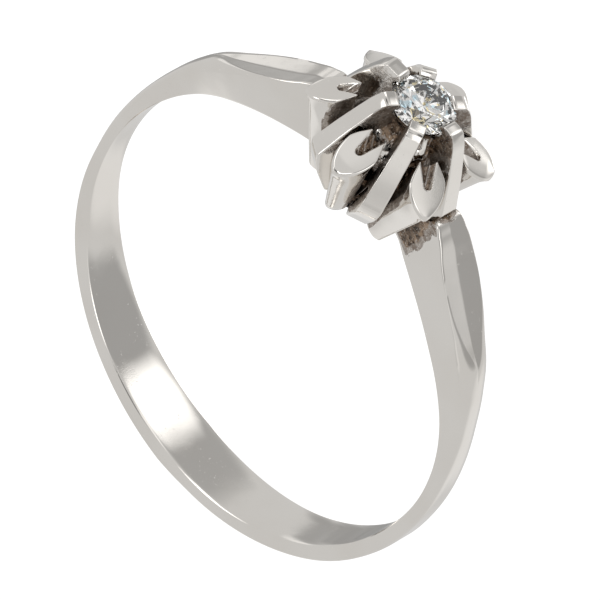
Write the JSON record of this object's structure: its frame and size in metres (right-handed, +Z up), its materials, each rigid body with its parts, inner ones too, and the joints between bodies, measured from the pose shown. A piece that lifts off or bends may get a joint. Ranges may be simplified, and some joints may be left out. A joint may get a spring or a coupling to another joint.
{
  "type": "diamond ring",
  "caption": "Solitaire finger ring in polished white metal, its round brilliant stone held by claws in a flower shaped setting between sawn petals.",
  "frame": {"origin": "middle of the ring's footprint on the table it lies on", "axes": "+Y from the stone's end to the palm side of the band, +Z up from the table, +X across the finger hole to the left of a viewer at the stone's end"},
  "size_m": [0.0182, 0.0232, 0.0068],
  "materials": {
    "white_gold": "polished white gold, dark and rough in the sawn slots and inside the setting",
    "diamond": "faceted, clear and colourless"
  },
  "bodies": {
    "root": {"band_and_setting": "white_gold", "diamond": "diamond"}
  },
  "joints": []
}
